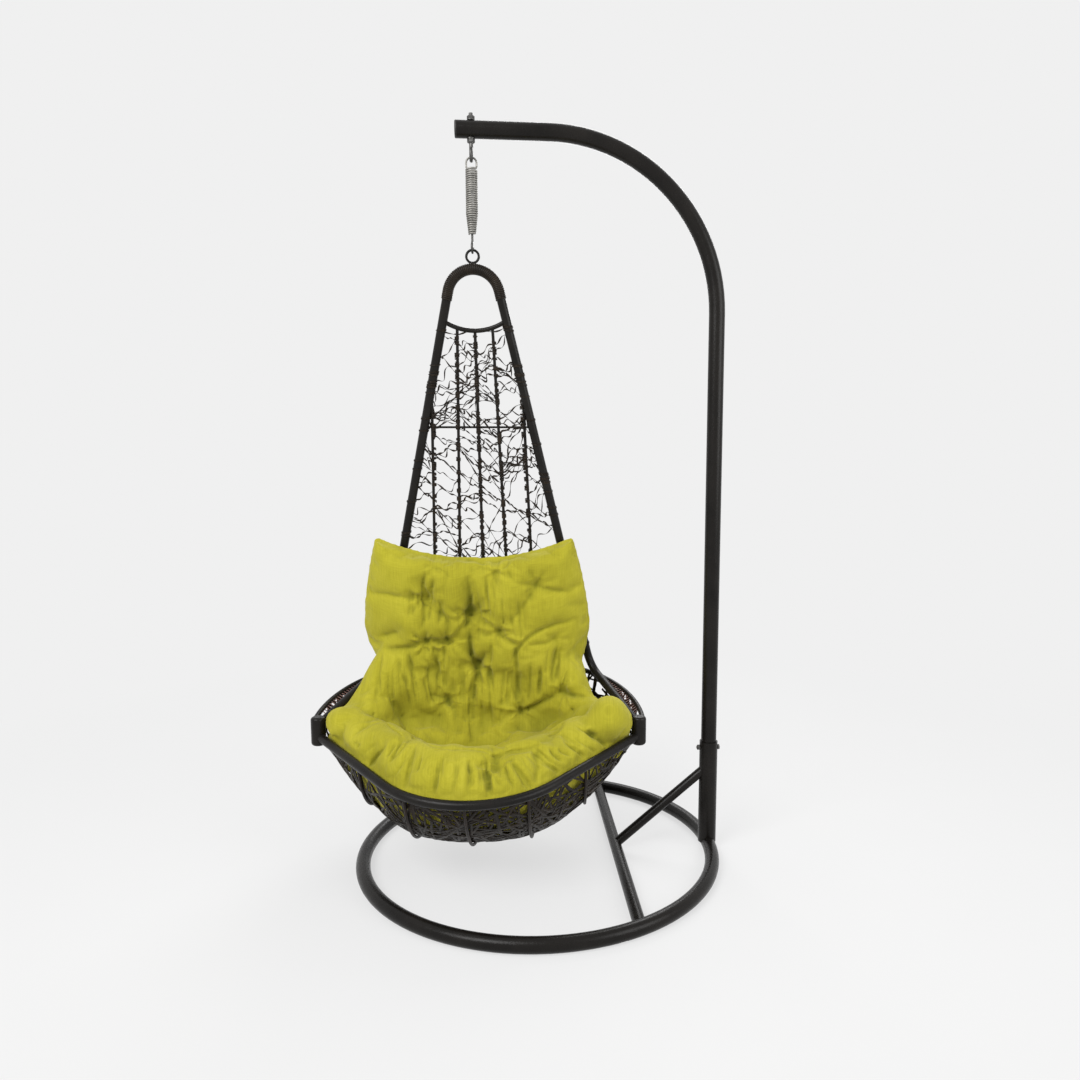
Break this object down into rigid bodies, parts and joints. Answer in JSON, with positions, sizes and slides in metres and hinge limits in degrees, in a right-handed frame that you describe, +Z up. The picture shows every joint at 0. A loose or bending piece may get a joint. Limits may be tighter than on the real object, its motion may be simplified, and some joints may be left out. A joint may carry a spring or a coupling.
{
  "type": "wicker swing chair",
  "caption": "Hanging wicker basket chair with a tufted one-piece cushion, on a coil spring and swivel hook from a hooked steel post with a floor ring.",
  "frame": {"origin": "centre of the floor ring, on the floor", "axes": "+Z up, +X from the ring's centre towards the post, front of the chair towards -Y"},
  "size_m": [1.1331, 0.998, 1.968],
  "materials": {
    "stand_paint": "satin powder coat",
    "end_cap": "matt",
    "zinc": "zinc plated",
    "spring_steel": "satin plated",
    "frame_paint": "satin powder coat",
    "wicker": "ribbed plastic strand",
    "cushion": "slub weave"
  },
  "bodies": {
    "stand": {"base_ring": "stand_paint", "cross_tube": "stand_paint", "post_socket": "stand_paint", "brace": "stand_paint", "arm_post": "stand_paint", "arm_end_cap": "end_cap", "socket_bolt": "zinc", "socket_nut": "zinc", "eye_washer_upper": "zinc", "eye_nut_upper": "zinc", "eye_washer_lower": "zinc", "eye_nut_lower": "zinc", "eye_bolt": "zinc"},
    "spring": {"spring": "spring_steel"},
    "spring_seat": {"spring_seat": "zinc"},
    "swivel_hook": {"swivel_hook": "zinc"},
    "chair": {"back_frame": "frame_paint", "corner_post_left": "frame_paint", "corner_post_right": "frame_paint", "top_ring": "frame_paint", "front_rim": "frame_paint", "rear_rim": "frame_paint", "window_bar": "frame_paint", "back_crossbar": "frame_paint", "back_lower_rail": "frame_paint", "back_rib_1": "frame_paint", "back_rib_2": "frame_paint", "back_rib_3": "frame_paint", "back_rib_4": "frame_paint", "back_rib_5": "frame_paint", "bowl_rib_1": "frame_paint", "bowl_rib_2": "frame_paint", "bowl_rib_3": "frame_paint", "bowl_rib_4": "frame_paint", "bowl_rib_5": "frame_paint", "top_sleeve": "wicker", "back_weave": "wicker", "bowl_weave": "wicker", "side_lacing_left": "wicker", "side_lacing_right": "wicker", "seat_cushion": "cushion", "back_cushion": "cushion"}
  },
  "joints": [
    {"name": "spring_swing", "type": "hinge", "parent": "stand", "child": "spring", "pos_m": [-0.164, 0, 1.8613], "axis": [1, 0, 0], "range_deg": [-25, 25]},
    {"name": "spring_stretch", "type": "slide", "parent": "spring", "child": "spring_seat", "axis": [0, 0, -1], "range_m": [0, 0.035], "stiffness_N_per_m": 22000, "springref_m": -0.01, "deforming": ["spring"]},
    {"name": "chair_swivel", "type": "hinge", "parent": "spring_seat", "child": "swivel_hook", "pos_m": [-0.164, 0, 1.7], "axis": [0, 0, 1], "continuous": true},
    {"name": "chair_sway", "type": "hinge", "parent": "swivel_hook", "child": "chair", "pos_m": [-0.164, 0, 1.62792], "axis": [0.0785, 0.9969, 0], "range_deg": [-4, 4]}
  ]
}
